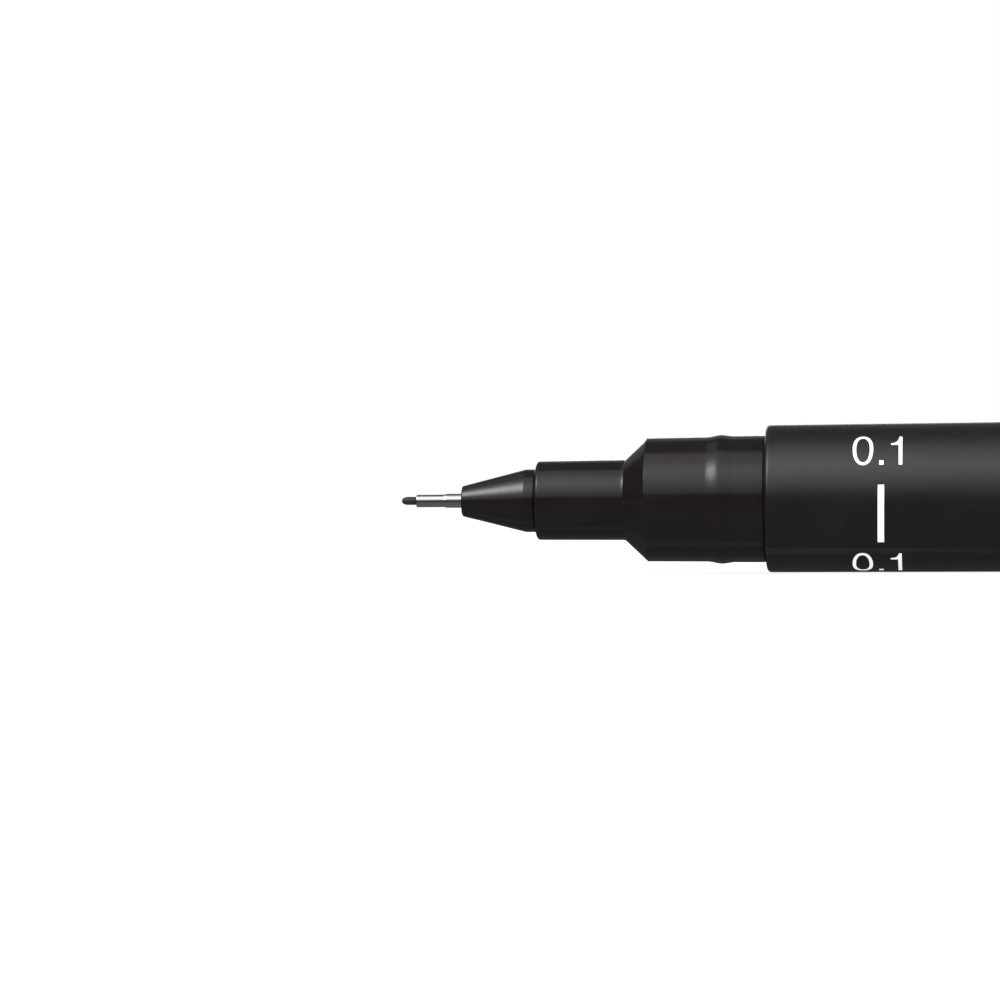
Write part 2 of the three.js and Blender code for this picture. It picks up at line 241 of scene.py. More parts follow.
stops = [(0.0, 0.13), (0.22, 0.12), (0.36, 0.07), (0.5, 0.02), (0.62, 0.04), (0.9, 0.075), (1.0, 0.08)]
while len(ramp.elements) < len(stops):
    ramp.elements.new(0.5)
for e, (p, v) in zip(ramp.elements, stops):
    e.position = p
    e.color = (v * 1.02, v, v * 0.97, 1)

# ------------------------------------------------------------------ outlines
def rounded(points, closed=True):
    """points are (u, r) or (u, r, fillet) or (u, r, fillet, steps), in mm. Each corner with a fillet becomes an arc."""
    pts = [(p[0], p[1], p[2] if len(p) > 2 else 0.0, p[3] if len(p) > 3 else 6) for p in points]
    n, out = len(pts), []
    for i, (u, r, f, k) in enumerate(pts):
        if f <= 0 or (not closed and i in (0, n - 1)):
            out.append((u, r))
            continue
        a, b, c = Vector(pts[i - 1][:2]), Vector((u, r)), Vector(pts[(i + 1) % n][:2])
        d1, d2 = (a - b), (c - b)
        l1, l2 = d1.length, d2.length
        d1, d2 = d1 / l1, d2 / l2
        turn = math.acos(max(-1, min(1, d1.dot(d2))))
        if abs(math.pi - turn) < 0.01:
            out.append((u, r))
            continue
        t = min(f / math.tan(turn / 2), 0.49 * l1, 0.49 * l2)
        rad = t * math.tan(turn / 2)
        mid = b + (d1 + d2).normalized() * (rad / math.sin(turn / 2))
        s, e = b + d1 * t, b + d2 * t
        a0 = math.atan2(s.y - mid.y, s.x - mid.x)
        a1 = math.atan2(e.y - mid.y, e.x - mid.x)
        da = (a1 - a0 + math.pi) % (2 * math.pi) - math.pi
        for j in range(k + 1):
            g = a0 + da * j / k
            out.append((mid.x + rad * math.cos(g), mid.y + rad * math.sin(g)))
    return out


def supported(points, every=1.5, hold=0.05, closed=True):
    """Adds points along each straight stretch: one close to each end, which holds the shading, and the rest evenly."""
    n, out = len(points), []
    for i in range(n):
        a, b = Vector(points[i]), Vector(points[(i + 1) % n])
        out.append(tuple(a))
        if (not closed and i == n - 1) or (a.y < 1e-9 and b.y < 1e-9):
            continue
        length = (b - a).length
        if length < 6 * hold:
            continue
        cuts = [hold / length]
        k = max(1, round(length / every))
        cuts += [j / k for j in range(1, k)]
        cuts += [1 - hold / length]
        out += [tuple(a.lerp(b, c)) for c in cuts]
    return out


def place(u, r, angle, x0=TIP_X):
    """angle is measured from +Z towards -Y, so 90 degrees faces the camera's side."""
    return Vector((x0 + u * MM, AX_Y - r * MM * math.sin(angle), AX_Z + r * MM * math.cos(angle)))


def finish_mesh(bm, name, smooth=32):
    bmesh.ops.recalc_face_normals(bm, faces=bm.faces)
    me = bpy.data.meshes.new(name)
    bm.to_mesh(me)
    bm.free()
    me.shade_smooth()
    me.set_sharp_from_angle(angle=math.radians(smooth))
    return link(bpy.data.objects.new(name, me))


def revolve(bm, outline, angles, x0=TIP_X):
    """Turns a closed outline round the pen's axis in a mesh under construction. Returns the rings."""
    rings = []
    for u, r in outline:
        if r < 1e-7:
            v = bm.verts.new(place(u, 0, 0, x0))
            rings.append([v])
        else:
            rings.append([bm.verts.new(place(u, r, a, x0)) for a in angles])
    faces = {}
    n, m = len(rings), len(angles)
    for i in range(n):
        a, b = rings[i], rings[(i + 1) % n]
        if len(a) == 1 and len(b) == 1:
            continue
        for j in range(m):
            k = (j + 1) % m
            if len(a) == 1:
                f = bm.faces.new((a[0], b[j], b[k]))
            elif len(b) == 1:
                f = bm.faces.new((a[j], b[0], a[k]))
            else:
                f = bm.faces.new((a[j], b[j], b[k], a[k]))
            faces[(i, j)] = f
    return rings, faces


def turned(name, outline, seg=160, x0=TIP_X, every=1.5, hold=0.05, smooth=32):
    bm = bmesh.new()
    angles = [2 * math.pi * (j + 0.5) / seg for j in range(seg)]
    revolve(bm, supported(rounded(outline), every, hold), angles, x0)
    return finish_mesh(bm, name, smooth)


# ------------------------------------------------------------------ materials
def nodes_of(name):
    m = bpy.data.materials.new(name)
    m.use_nodes = True
    nt = m.node_tree
    nt.nodes.clear()
    out = nt.nodes.new("ShaderNodeOutputMaterial")
    p = nt.nodes.new("ShaderNodeBsdfPrincipled")
    nt.links.new(p.outputs[0], out.inputs["Surface"])
    tc = nt.nodes.new("ShaderNodeTexCoord")
    return m, nt, p, tc.outputs["Object"]


def stretched(nt, coord, scale, rotate=(0, 0, 0)):
    n = nt.nodes.new("ShaderNodeMapping")
    n.inputs["Scale"].default_value = scale
    n.inputs["Rotation"].default_value = rotate
    nt.links.new(coord, n.inputs["Vector"])
    return n.outputs[0]


def noise(nt, coord, scale, detail=2.0, rough=0.5, distort=0.0):
    n = nt.nodes.new("ShaderNodeTexNoise")
    n.inputs["Scale"].default_value = scale
    n.inputs["Detail"].default_value = detail
    n.inputs["Roughness"].default_value = rough
    n.inputs["Distortion"].default_value = distort
    nt.links.new(coord, n.inputs["Vector"])
    return n.outputs["Fac"]


def remap(nt, value, a, b, lo, hi):
    n = nt.nodes.new("ShaderNodeMapRange")
    n.inputs["From Min"].default_value = a
    n.inputs["From Max"].default_value = b
    n.inputs["To Min"].default_value = lo
    n.inputs["To Max"].default_value = hi
    nt.links.new(value, n.inputs["Value"])
    return n.outputs[0]


def maths(nt, op, a, b, clamp=False):
    n = nt.nodes.new("ShaderNodeMath")
    n.operation = op
    n.use_clamp = clamp
    for i, v in enumerate((a, b)):
        if isinstance(v, (int, float)):
            n.inputs[i].default_value = v
        else:
            nt.links.new(v, n.inputs[i])
    return n.outputs[0]


def mixed(nt, fac, a, b):
    n = nt.nodes.new("ShaderNodeMix")
    n.data_type = "RGBA"
    for socket, v in ((n.inputs[6], a), (n.inputs[7], b)):
        if isinstance(v, tuple):
            socket.default_value = (*v, 1) if len(v) == 3 else v
        else:
            nt.links.new(v, socket)
    nt.links.new(fac, n.inputs[0])
    return n.outputs[2]


def bump(nt, height, distance, strength=1.0, normal=None):
    n = nt.nodes.new("ShaderNodeBump")
    n.inputs["Strength"].default_value = strength
    n.inputs["Distance"].default_value = distance
    nt.links.new(height, n.inputs["Height"])
    if normal is not None:
        nt.links.new(normal, n.inputs["Normal"])
    return n.outputs[0]


def worn(nt, lo=0.52, hi=0.6):
    """1 on sharp outside edges, 0 on flat stretches."""
    g = nt.nodes.new("ShaderNodeNewGeometry")
    return remap(nt, g.outputs["Pointiness"], lo, hi, 0, 1)


def set_in(p, **values):
    for k, v in values.items():
        p.inputs[k.replace("_", " ")].default_value = v


def satin_black():
    m, nt, p, co = nodes_of("satin_black_plastic")
    grain = noise(nt, co, 11000, 3, 0.6)
    cloud = noise(nt, co, 260, 4, 0.55)
    fleck = noise(nt, co, 2600, 2, 0.5)
    rub = noise(nt, stretched(nt, co, (60, 900, 900)), 1.0, 3, 0.6)
    edge = maths(nt, "MULTIPLY", worn(nt), remap(nt, rub, 0.4, 0.7, 0.2, 1), True)
    tone = mixed(nt, remap(nt, cloud, 0.3, 0.7, 0, 1), (0.0068, 0.0056, 0.0052), (0.0086, 0.0075, 0.0072))
    tone = mixed(nt, maths(nt, "MULTIPLY", edge, 0.5), tone, (0.028, 0.028, 0.029))
    nt.links.new(tone, p.inputs["Base Color"])
    r = maths(nt, "ADD", remap(nt, cloud, 0.3, 0.7, 0.33, 0.39), remap(nt, fleck, 0.3, 0.7, -0.03, 0.03))
    r = maths(nt, "SUBTRACT", r, maths(nt, "MULTIPLY", edge, 0.08))
    nt.links.new(r, p.inputs["Roughness"])
    b = bump(nt, grain, 0.0000022)
    b = bump(nt, fleck, 0.000004, 0.5, b)
    nt.links.new(b, p.inputs["Normal"])
    set_in(p, IOR=1.60)
    return m


def gloss_black():
    m, nt, p, co = nodes_of("gloss_black_plastic")
    flow = noise(nt, co, 420, 2, 0.5)
    peel = noise(nt, co, 1500, 2, 0.5)
    lines = noise(nt, stretched(nt, co, (2600, 90, 90)), 1.0, 2, 0.5)
    bands = noise(nt, stretched(nt, co, (900, 12, 12)), 1.0, 2, 0.6)
    smudge = noise(nt, stretched(nt, co, (1, 1.6, 1)), 330, 4, 0.6)
    edge = worn(nt, 0.53, 0.62)
    tone = mixed(nt, remap(nt, flow, 0.3, 0.7, 0, 1), (0.0092, 0.0074, 0.0070), (0.0108, 0.0090, 0.0086))
    tone = mixed(nt, maths(nt, "MULTIPLY", edge, 0.25), tone, (0.022, 0.022, 0.022))
    nt.links.new(tone, p.inputs["Base Color"])
    r = maths(nt, "ADD", remap(nt, smudge, 0.35, 0.7, 0.13, 0.20), remap(nt, lines, 0.3, 0.7, -0.01, 0.01))
    r = maths(nt, "ADD", r, remap(nt, bands, 0.3, 0.7, -0.025, 0.025))
    nt.links.new(r, p.inputs["Roughness"])
    b = bump(nt, peel, 0.0000035)
    b = bump(nt, lines, 0.0000016, 0.7, b)
    b = bump(nt, bands, 0.000012, 0.8, b)
    nt.links.new(b, p.inputs["Normal"])
    set_in(p, IOR=1.5)
    return m


def steel(name, base=0.66, rough=0.16, ring=True, metal=1.0):
    m, nt, p, co = nodes_of(name)
    scale = (14000, 300, 300) if ring else (110, 4600, 4600)
    lines = noise(nt, stretched(nt, co, scale), 1.0, 3, 0.6)
    patch = noise(nt, co, 700, 3, 0.5)
    tone = mixed(nt, remap(nt, patch, 0.3, 0.7, 0, 1), (base * 0.96, base * 0.955, base * 0.94), (base * 1.04, base * 1.04, base * 1.035))
    if not ring:
        tone = mixed(nt, remap(nt, lines, 0.4, 0.75, 0, 0.5), tone, (base * 0.80, base * 0.80, base * 0.79))
    nt.links.new(tone, p.inputs["Base Color"])
    r = maths(nt, "ADD", remap(nt, lines, 0.3, 0.7, rough - 0.03, rough + 0.04), remap(nt, patch, 0.3, 0.7, -0.02, 0.03))
    nt.links.new(r, p.inputs["Roughness"])
    nt.links.new(bump(nt, lines, 0.0000009), p.inputs["Normal"])
    set_in(p, Metallic=metal, Anisotropic=0.35)
    return m


def nib_plastic():
    m, nt, p, co = nodes_of("nib_capillary_plastic")
    flute = noise(nt, stretched(nt, co, (900, 9000, 9000)), 1.0, 3, 0.6)
    pores = noise(nt, co, 16000, 2, 0.5)
    tone = mixed(nt, remap(nt, flute, 0.35, 0.65, 0, 1), (0.008, 0.0085, 0.010), (0.020, 0.021, 0.024))
    nt.links.new(tone, p.inputs["Base Color"])
    nt.links.new(remap(nt, pores, 0.3, 0.7, 0.38, 0.6), p.inputs["Roughness"])
    nt.links.new(bump(nt, flute, 0.000004, 0.8, bump(nt, pores, 0.000003)), p.inputs["Normal"])
    set_in(p, IOR=1.48)
    return m


def print_white():
    m, nt, p, co = nodes_of("printed_white_ink")
    grain = noise(nt, co, 9000, 3, 0.6)
    thin = noise(nt, co, 1700, 3, 0.6)
    tone = mixed(nt, remap(nt, thin, 0.25, 0.75, 0, 1), (0.86, 0.86, 0.855), (0.92, 0.92, 0.915))
    nt.links.new(tone, p.inputs["Base Color"])
    nt.links.new(remap(nt, grain, 0.3, 0.7, 0.42, 0.55), p.inputs["Roughness"])
    nt.links.new(bump(nt, grain, 0.000002), p.inputs["Normal"])
    set_in(p, IOR=1.5)
    return m


def liner_plastic():
    m, nt, p, co = nodes_of("liner_polypropylene")
    cloud = noise(nt, co, 320, 4, 0.55)
    grain = noise(nt, co, 6000, 2, 0.5)
    tone = mixed(nt, remap(nt, cloud, 0.3, 0.7, 0, 1), (0.060, 0.060, 0.063), (0.082, 0.082, 0.086))
    nt.links.new(tone, p.inputs["Base Color"])
    nt.links.new(remap(nt, cloud, 0.3, 0.7, 0.38, 0.48), p.inputs["Roughness"])
    nt.links.new(bump(nt, grain, 0.000003), p.inputs["Normal"])
    set_in(p, IOR=1.49)
    return m


def fibre(name, dark, light):
    m, nt, p, co = nodes_of(name)
    strands = noise(nt, stretched(nt, co, (220, 7500, 7500)), 1.0, 4, 0.65)
    patch = noise(nt, co, 240, 3, 0.5)
    tone = mixed(nt, remap(nt, strands, 0.35, 0.65, 0, 1), dark, light)
    tone = mixed(nt, remap(nt, patch, 0.4, 0.8, 0, 0.4), tone, dark)
    nt.links.new(tone, p.inputs["Base Color"])
    nt.links.new(remap(nt, strands, 0.3, 0.7, 0.8, 0.95), p.inputs["Roughness"])
    nt.links.new(bump(nt, strands, 0.00002, 0.9), p.inputs["Normal"])
    set_in(p, Sheen_Weight=0.2)
    return m


def film():
    m, nt, p, co = nodes_of("clear_wrap_film")
    crease = noise(nt, stretched(nt, co, (120, 700, 700)), 1.0, 4, 0.6, 0.4)
    cloud = noise(nt, co, 500, 3, 0.5)
    tone = mixed(nt, remap(nt, cloud, 0.3, 0.7, 0, 1), (0.55, 0.55, 0.54), (0.72, 0.72, 0.71))
    nt.links.new(tone, p.inputs["Base Color"])
    nt.links.new(remap(nt, crease, 0.3, 0.7, 0.18, 0.35), p.inputs["Roughness"])
    nt.links.new(bump(nt, crease, 0.00001, 0.8), p.inputs["Normal"])
    set_in(p, IOR=1.5)
    return m


SATIN, GLOSS, WHITE = satin_black(), gloss_black(), print_white()
SLEEVE_STEEL, CLIP_STEEL = steel("drawn_steel_sleeve", 0.66, 0.14, True), steel("brushed_steel_clip", 0.80, 0.25, False, 0.62)
NIB, LINER = nib_plastic(), liner_plastic()
WICK, INKED, FILM = fibre("wick_fibre", (0.42, 0.40, 0.36), (0.66, 0.64, 0.58)), fibre("ink_soaked_fibre", (0.010, 0.011, 0.014), (0.035, 0.037, 0.044)), film()


def put(obj, material, body, slot, *nodes):
    obj.data.materials.clear()
    obj.data.materials.append(material)
    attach(obj, body)
    if nodes:
        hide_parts(*nodes)
    return obj


# ------------------------------------------------------------------ writing point
nib = turned("nib_point", [(0, 0), (0.0, 0.05, 0.03, 3), (0.05, 0.16, 0.06, 4), (0.17, 0.25, 0.14, 6), (0.40, 0.296, 0.3, 6), (13.5, 0.296), (13.5, 0)], 72, every=0.5, hold=0.02, smooth=60)
nib.data.transform(Matrix.Translation((0, 0, 0.05 * MM)))      # the point sits a hair above the cone's axis, within the bore's play
put(nib, NIB, "pen_body", "nib_plastic", "nib")

sleeve = turned(
    "steel_sleeve",
    [(1.1, 0.335, 0.03, 4), (1.1, 0.465, 0.075, 6), (3.12, 0.465, 0.08, 5), (3.38, 0.52, 0.08, 5), (8.4, 0.52, 0.04, 3), (8.4, 0.335)],
    96, every=0.8, hold=0.015,
)
sleeve.data.transform(Matrix.Translation((0, 0, 0.036 * MM)))
put(sleeve, SLEEVE_STEEL, "pen_body", "steel", "nib_sleeve")

holder = turned(
    "nib_holder_cone",
    [
        (4.5, 0.56, 0.05, 3), (4.5, 1.108, 0.13, 7), (9.2, 2.305, 0.3, 6), (9.96, 2.313, 0.07, 5),
        (9.96, 2.0), (17.8, 2.0), (18.2, 1.75), (18.2, 1.06), (13.7, 1.06), (13.1, 0.36), (8.55, 0.36), (8.55, 0.56),
    ],
    144, every=0.9, hold=0.025,
)
put(holder, GLOSS, "pen_body", "gloss_black", "nib_holder")

# ------------------------------------------------------------------ front section
# the neck flares a little into the shoulder, and the snap rib is a soft wave
FLARE = [(16.24 + 0.31 * t, 2.937 + 1.5 * (1 - math.cos(math.asin(0.31 * t / 1.5)))) for t in (0.15, 0.3, 0.45, 0.6, 0.75, 0.9, 1.0)]
RIB = [(22.5 + 1.1 * t, 4.558 + 0.157 * (1 - math.cos(math.pi * t)) / 2) for t in [i / 14 for i in range(15)]]
RIB += [(23.6 + 0.95 * t, 4.613 + 0.102 * (1 + math.cos(math.pi * t)) / 2) for t in [i / 12 for i in range(1, 13)]]
section = turned(
    "front_section_shell",
    [
        (10.03, 2.08, 0.06, 3), (10.03, 2.888, 0.26, 8), (16.18, 2.935, 0.2, 3), *FLARE, (18.17, 4.515, 0.05, 5),
        (22.3, 4.555), *RIB, (24.75, 4.615),
        (26.74, 4.63, 0.03, 3), (26.84, 4.59), (27.2, 4.56), (35.2, 4.56, 0.2, 4), (36.0, 4.33), (36.0, 3.98), (21.2, 3.98), (18.9, 2.08),
    ],
    192, every=1.0, hold=0.04,
)
put(section, GLOSS, "pen_body", "gloss_black", "front_section")

# ------------------------------------------------------------------ barrel
FIT = math.cos(math.pi / 40)          # the fine surface lies inside the facets, so that it meets the floor
barrel = turned(
    "barrel_tube",
    [
        (26.88, 4.70, 0.10, 4), (26.88, 5.377 * FIT, 0.33, 9), (44, 5.437 * FIT, 30, 8), (52, 5.457 * FIT, 30, 8),
        (113.0, 5.457 * FIT, 0.34, 8), (113.0, 4.72, 0.1, 4),
    ],
    224, every=1.6, hold=0.05,
)
put(barrel, SATIN, "pen_body", "satin_black", "barrel")


def barrel_r(u):
    if u < 44:
        return (5.377 + (5.437 - 5.377) * (u - 26.88) / (44 - 26.88)) * FIT
    return 5.457 * FIT


# ------------------------------------------------------------------ printed marks
def flat_outline(points):
    return [Vector((p[0], p[1])) for p in points]


def oval(cx, cy, rx, ry, power, n=72):
    out = []
    for i in range(n):
        t = 2 * math.pi * i / n
        c, s = math.cos(t), math.sin(t)
        out.append((cx + rx * math.copysign(abs(c) ** (2 / power), c), cy + ry * math.copysign(abs(s) ** (2 / power), s)))
    return out


def figure_faces(kind, height, flag=1.0):
    """Plain numerals, as lists of polygons in (x, y) mm, y up from the base line. Returns polygons without holes."""
    w0, t = 1.46, 0.245
    if kind == "0":
        outer = oval(w0 / 2, height / 2, w0 / 2, height / 2, 2.25)
        inner = oval(w0 / 2, height / 2, w0 / 2 - t, height / 2 - t * 0.93, 2.2)
        n = len(outer)
        return [[outer[i], outer[(i + 1) % n], inner[(i + 1) % n], inner[i]] for i in range(n)]
    if kind == ".":
        return [[(0.025, 0.02), (0.335, 0.02), (0.335, 0.375), (0.025, 0.375)]]
    if kind == "1":
        # stem, and a thin flag that curves up into it
        h, g = height - 0.05, flag
        poly = [
            (0.02, h - 0.735 * g), (0.14, h - 0.728 * g), (0.24, h - 0.70 * g), (0.34, h - 0.65 * g), (0.43, h - 0.56 * g), (0.51, h - 0.42 * g), (0.565, h - 0.26 * g), (0.60, h - 0.10 * g), (0.615, h),
            (0.818, h), (0.818, 0.02), (0.553, 0.02), (0.553, h - 0.735 * g - 0.165), (0.02, h - 0.735 * g - 0.165),
        ]
        return [poly]
    raise ValueError(kind)


def printed(name, polygons, to_world, cut=0.10, proud=0.010, sunk=0.008):
    """A thin solid of ink from flat polygons in (x, y) mm. to_world(x, y, lift) gives the point on the curved surface."""
    bm = bmesh.new()
    cache = {}

    def vert(p):
        key = (round(p[0], 5), round(p[1], 5))
        if key not in cache:
            cache[key] = bm.verts.new((p[0], p[1], 0))
        return cache[key]

    for poly in polygons:
        tris = geometry.tessellate_polygon([[Vector((x, y, 0)) for x, y in poly]]) if len(poly) > 4 else None
        if tris is None:
            vs = [vert(p) for p in poly]
            if len(set(vs)) >= 3:
                bm.faces.new(vs)
        else:
            for t in tris:
                vs = [vert(poly[i]) for i in t]
                if len(set(vs)) == 3:
                    try:
                        bm.faces.new(vs)
                    except ValueError:
                        pass
    ys = [v.co.y for v in bm.verts]
    y = math.floor(min(ys) / cut) * cut + cut
    while y < max(ys):
        geom = list(bm.verts) + list(bm.edges) + list(bm.faces)
        bmesh.ops.bisect_plane(bm, geom=geom, plane_co=(0, y, 0), plane_no=(0, 1, 0), dist=1e-5)
        y += cut
    bmesh.ops.remove_doubles(bm, verts=bm.verts, dist=1e-4)
    bmesh.ops.recalc_face_normals(bm, faces=bm.faces)
    flat = {v: (v.co.x, v.co.y) for v in bm.verts}
    top = {v: None for v in flat}
    out = bmesh.new()
    hi = {v: out.verts.new(to_world(x, y, proud)) for v, (x, y) in flat.items()}
    lo = {v: out.verts.new(to_world(x, y, -sunk)) for v, (x, y) in flat.items()}
    for f in bm.faces:
        out.faces.new([hi[v] for v in f.verts])
        out.faces.new([lo[v] for v in reversed(f.verts)])
    for e in bm.edges:
        if len(e.link_faces) == 1:
            a, b = e.verts
            out.faces.new((hi[a], hi[b], lo[b], lo[a]))
    bm.free()
    return finish_mesh(out, name, 40)


def round_barrel(u0, mid_angle, height):
    """Maps a figure onto the barrel: x runs along the pen from u0, y up round the barrel, centred on mid_angle above the front."""
    def to_world(x, y, lift):
        u = u0 + x
        r = barrel_r(u)
        a = math.radians(mid_angle) + (y - height / 2) / r
        rr = r + lift
        return Vector((TIP_X + u * MM, AX_Y - rr * MM * math.cos(a), AX_Z + rr * MM * math.sin(a)))
    return to_world


FIG_H = 2.72
GLYPHS = (("0", "nought", 0.0), (".", "point", 1.865), ("1", "one", 2.72))
for i, (at, u0) in enumerate([(40.3, 33.245), (-61.65, 33.135), (-165.4, 33.18)]):
    for kind, label, dx in GLYPHS:
        o = printed(f"print_{label}_{i + 1}", figure_faces(kind, FIG_H, 0.72 if i == 1 else 1.0), round_barrel(u0 + dx, at, FIG_H))
        put(o, WHITE, "pen_body", "print_white")
BAR_H = math.radians(46.2) * 5.37
for i, at in enumerate([-12.95, -116.0]):
    o = printed(f"print_bar_{i + 1}", [[(0, 0), (0.465, 0), (0.515, BAR_H), (0.062, BAR_H)]], round_barrel(34.97, at, BAR_H))
    put(o, WHITE, "pen_body", "print_white")

# ------------------------------------------------------------------ tail plug
tail = turned(
    "tail_plug_body",
    [
        (103.6, 3.9), (103.6, 4.35), (104.3, 4.6), (113.05, 4.6), (115.95, 4.6, 0.4, 5), (116.62, 4.685, 0.25, 7), (117.0, 4.685, 0.25, 7), (117.75, 4.58, 0.4, 5),
        (125.0, 4.54, 0.55, 9), (125.0, 1.15, 0.06, 4), (125 - 0.14, 1.0, 0.06, 4), (125 - 0.14, 0), (123.7, 0), (123.7, 3.6), (123.2, 3.9),
    ],
    192, every=1.2, hold=0.04,
)
put(tail, SATIN, "pen_body", "satin_black", "tail_plug")

# ------------------------------------------------------------------ ink system, inside
wick = turned("feed_wick_rod", [(13.9, 0), (13.9, 0.62, 0.1, 4), (14.8, 0.95, 0.2, 4), (28.5, 0.95, 0.2, 4), (29.0, 0.65, 0.1, 4), (29.0, 0)], 64, every=0.8)
put(wick, WICK, "pen_body", "wick_fibre", "feed_wick")
reservoir = turned("ink_reservoir_bundle", [(29.25, 0), (29.25, 1.03), (24.4, 1.03, 0.08, 3), (24.4, 3.66, 0.25, 5), (103, 3.66, 0.25, 5), (103, 0)], 112, every=1.6)
put(reservoir, INKED, "pen_body", "inked_fibre", "ink_reservoir")
wrap = turned("reservoir_film", [(24.2, 3.735), (24.2, 3.845), (103.2, 3.845), (103.2, 3.735)], 112, every=1.6)
put(wrap, FILM, "pen_body", "clear_film", "reservoir_wrap")

# ------------------------------------------------------------------ cap
# straight into the clip's direction: the angle of place() that points along it
CLIP_ANGLE = math.atan2(-CLIP_DIR.y, CLIP_DIR.z)
SLOT_HALF = math.asin(2.35 / 5.34)


def cap_angles(seg):
    step = 2 * math.pi / seg
    angles = [CLIP_ANGLE + step * j for j in range(seg)]
    k = round(SLOT_HALF / step)
    for sign in (1, -1):
        angles[(sign * k) % seg] = CLIP_ANGLE + sign * SLOT_HALF + (2 * math.pi if sign < 0 else 0)
    return angles, k


def cap_shell():
    outer = rounded(
        [(0.0, 4.98), (0.0, 5.457 * FIT, 0.3, 8), (14, 5.457 * FIT, 40, 8), (34.15, 5.35 * FIT)], closed=False
    )
    outer = supported(outer, 1.5, 0.05, closed=False)
    back_end = supported(rounded([(35.25, 5.345 * FIT), (39.2, 5.33 * FIT, 0.42, 9), (39.2, 4.81)], closed=False), 1.3, 0.05, closed=False)
    inside1 = supported([(39.2, 4.81), (35.25, 4.81)], 1.5, 0.05, closed=False)
    inside2 = supported(
        rounded(
            [
                (34.15, 4.81), (27.3, 4.81), (27.3, 4.16), (26.4, 4.16), (25.75, 4.81), (2.75, 4.81, 0.15, 4), (2.38, 4.75, 0.12, 5), (1.82, 4.75, 0.12, 5),
                (1.35, 4.81, 0.15, 4), (0.45, 4.81, 0.1, 4), (0.0, 4.98),
            ],
            closed=False,
        ),
        1.5, 0.05, closed=False,
    )
    outline = outer + back_end + inside1[1:] + inside2[:-1]
    i_out = len(outer) - 1                                         # the ring at the slot's near edge, outside
    i_in = len(outer) + len(back_end) + len(inside1[1:]) - 1       # and the one at its far edge, inside
    seg = 224
    angles, k = cap_angles(seg)
    bm = bmesh.new()
    rings, faces = revolve(bm, outline, angles, CAP_X)
    gone = [faces[(i, j % seg)] for i in (i_out, i_in) for j in range(-k, k)]
    bmesh.ops.delete(bm, geom=gone, context="FACES_ONLY")
    a, b = rings[i_out], rings[i_out + 1]       # outside: near and far edges of the slot
    c, d = rings[i_in], rings[i_in + 1]         # inside: far and near edges
    for j in range(-k, k):
        j0, j1 = j % seg, (j + 1) % seg
        bm.faces.new((a[j0], a[j1], d[j1], d[j0]))
        bm.faces.new((b[j0], b[j1], c[j1], c[j0]))
    for j in (-k, k):
        j = j % seg
        bm.faces.new((a[j], b[j], c[j], d[j]))
    rim = []
    for ring in (a, b):
        for j in range(-k, k):
            e = bm.edges.get((ring[j % seg], ring[(j + 1) % seg]))
            if e:
                rim.append(e)
    for j in (-k, k):
        e = bm.edges.get((a[j % seg], b[j % seg]))
        if e:
            rim.append(e)
    bmesh.ops.recalc_face_normals(bm, faces=bm.faces)
    bmesh.ops.bevel(bm, geom=rim, offset=0.07 * MM, segments=3, profile=0.5, affect="EDGES")
    return finish_mesh(bm, "cap_shell_tube", 32)


cap = cap_shell()
put(cap, SATIN, "cap", "satin_black", "cap_shell")

liner = turned(
    "inner_cap_liner",
    [
        (12.3, 3.29, 0.1, 4), (12.3, 3.5, 0.1, 4), (12.8, 3.6, 0.2, 4), (27.6, 3.6), (27.6, 4.71, 0.08, 4), (29.4, 4.71, 0.08, 4), (29.4, 0),
        (27.9, 0), (27.9, 2.5, 0.2, 4), (27.2, 3.03, 0.3, 4), (13.3, 3.03, 0.2, 4),
    ],
    144, x0=CAP_X, every=1.4,
)
put(liner, LINER, "cap", "liner_plastic", "inner_cap")

crown = turned(
    "cap_crown_disc",
    [
        (36.4, 0), (36.4, 4.4), (36.8, 4.69), (39.28, 4.69, 0.05, 3), (39.5, 4.42, 0.16, 5), (39.5, 3.86, 0.04, 3), (39.34, 3.74, 0.06, 4), (39.34, 3.5, 0.06, 4), (39.5, 3.38, 0.04, 3), (39.5, 0),
    ],
    192, x0=CAP_X, every=0.6, hold=0.03,
)
put(crown, GLOSS, "cap", "gloss_black", "cap_crown")


# generic line-width figure on the crown, upright when the clip is on top
def on_crown(dx, dy, k):
    side = Vector((1, 0, 0)).cross(CLIP_DIR)
    def to_world(x, y, lift):
        p = Vector((CAP_X + (39.5 + lift) * MM, AX_Y, AX_Z))
        return p - side * ((x * k + dx) * MM) + CLIP_DIR * ((y * k + dy) * MM)
    return to_world


K = 0.95
total = 3.65 * K
for kind, label, dx in GLYPHS:
    o = printed(f"crown_{label}", figure_faces(kind, FIG_H), on_crown(dx * K - total / 2, -FIG_H * K / 2, K), cut=0.5, proud=0.008, sunk=0.006)
    put(o, WHITE, "cap", "print_white")

# ------------------------------------------------------------------ pocket clip
def spline(points, per=10):
    """A smooth line through 2-D points (centripetal enough for evenly kept ones)."""
    out, n = [], len(points)
    for i in range(n - 1):
        p0, p1, p2, p3 = (Vector(points[max(0, min(n - 1, i + k))]) for k in (-1, 0, 1, 2))
        for j in range(per):
            t = j / per
            out.append(0.5 * ((2 * p1) + (p2 - p0) * t + (2 * p0 - 5 * p1 + 4 * p2 - p3) * t * t + (3 * p1 - p0 - 3 * p2 + p3) * t ** 3))
    out.append(Vector(points[-1]))
    return out


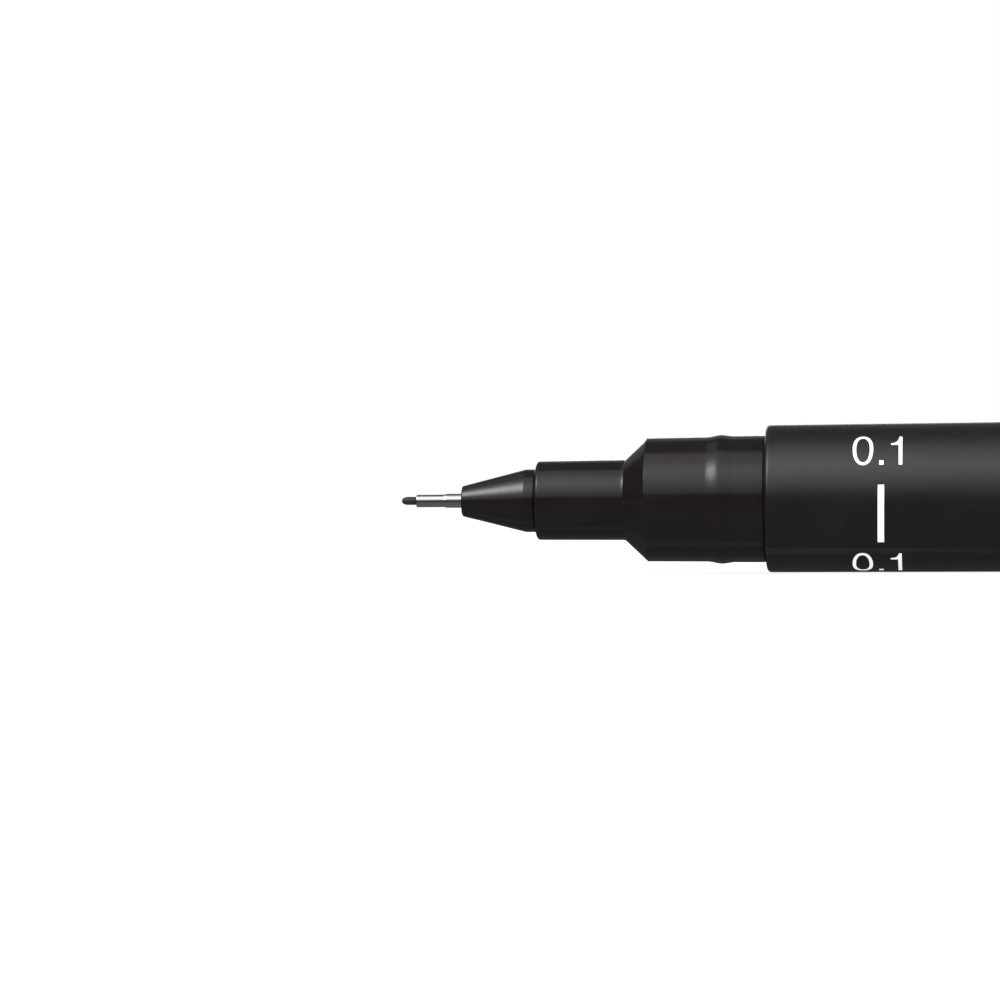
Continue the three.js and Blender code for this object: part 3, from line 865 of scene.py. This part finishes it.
def clip_mesh():
    # middle line of the strip in (w, distance from the axis)
    bend, out_r, root = 0.92, 6.8, 34.7
    line = [Vector((root, 3.5 + 0.3 * i)) for i in range(8)]
    line += [Vector((root - bend + bend * math.cos(a), out_r - bend + bend * math.sin(a))) for a in [math.pi / 2 * i / 10 for i in range(11)]]
    run = spline([(33.2, 6.795), (30, 6.765), (27, 6.72), (24, 6.66), (21, 6.595), (18, 6.52), (15.5, 6.45), (13.5, 6.38), (11.6, 6.24), (10.3, 6.12), (9.3, 6.06), (8.4, 6.09), (7.5, 6.22), (6.8, 6.39), (6.32, 6.54)], 6)
    line += run
    half_t = 0.21
    # section: rounded bar, slightly crowned; (across from -1 to 1, thickness from -1 to 1)
    def half_width(w):
        hw = 2.0 if w > 33.6 else 1.5 + (2.0 - 1.5) * max(0, (w - 7.6)) / (33.6 - 7.6)
        if w < 7.7:
            t = min(1.0, (7.7 - w) / (7.7 - 6.1))
            hw *= max(0.06, math.sqrt(max(0.0, 1 - t ** 2.4)))
        return hw
    n_top, edge = 14, 0.13
    bm = bmesh.new()
    rings = []
    side = Vector((1, 0, 0)).cross(CLIP_DIR).normalized()
    for i, p in enumerate(line):
        a, b = line[max(0, i - 1)], line[min(len(line) - 1, i + 1)]
        tangent = (b - a).normalized()
        normal = Vector((tangent.y, -tangent.x))       # away from the pen on the long run (w falls along the line)
        if normal.y < 0 and i > 14:
            normal = -normal
        hw = half_width(p.x) if i > 7 else 2.0
        e = min(edge, hw * 0.5)
        crown_h = 0.10 * min(1, hw / 1.5) * (1 if i > 14 else i / 14)
        dimple_at = 9.35
        section = []
        def lift(s):
            return -crown_h * (s / max(hw, 1e-6)) ** 2
        def dimple(s, w):
            d2 = (s / 0.75) ** 2 + ((w - dimple_at) / 1.0) ** 2
            return -0.14 * math.exp(-d2 * 1.6)
        flat_w = hw - e
        for j in range(n_top + 1):
            s = -flat_w + 2 * flat_w * j / n_top
            section.append((s, half_t + lift(s) + dimple(s, p.x) * (1 if i > 20 else 0)))
        for j in range(1, 6):
            g = math.pi / 2 - math.pi * j / 6
            section.append((flat_w + e * math.cos(g), lift(flat_w) + half_t * math.sin(g)))
        for j in range(n_top + 1):
            s = flat_w - 2 * flat_w * j / n_top
            section.append((s, -half_t + lift(s) + dimple(s, p.x) * (1 if i > 20 else 0)))
        for j in range(1, 6):
            g = -math.pi / 2 - math.pi * j / 6
            section.append((-flat_w + e * math.cos(g), lift(flat_w) + half_t * math.sin(g)))
        ring = []
        for s, h in section:
            w, r = p.x + normal.x * h, p.y + normal.y * h
            ring.append(bm.verts.new(Vector((CAP_X + w * MM, AX_Y, AX_Z)) + CLIP_DIR * (r * MM) + side * (s * MM)))
        rings.append(ring)
    m = len(rings[0])
    for a, b in zip(rings, rings[1:]):
        for j in range(m):
            bm.faces.new((a[j], a[(j + 1) % m], b[(j + 1) % m], b[j]))
    bm.faces.new(rings[0])
    bm.faces.new(list(reversed(rings[-1])))
    return finish_mesh(bm, "pocket_clip", 50)


clip = clip_mesh()
put(clip, CLIP_STEEL, "clip_strip", "steel", "clip")
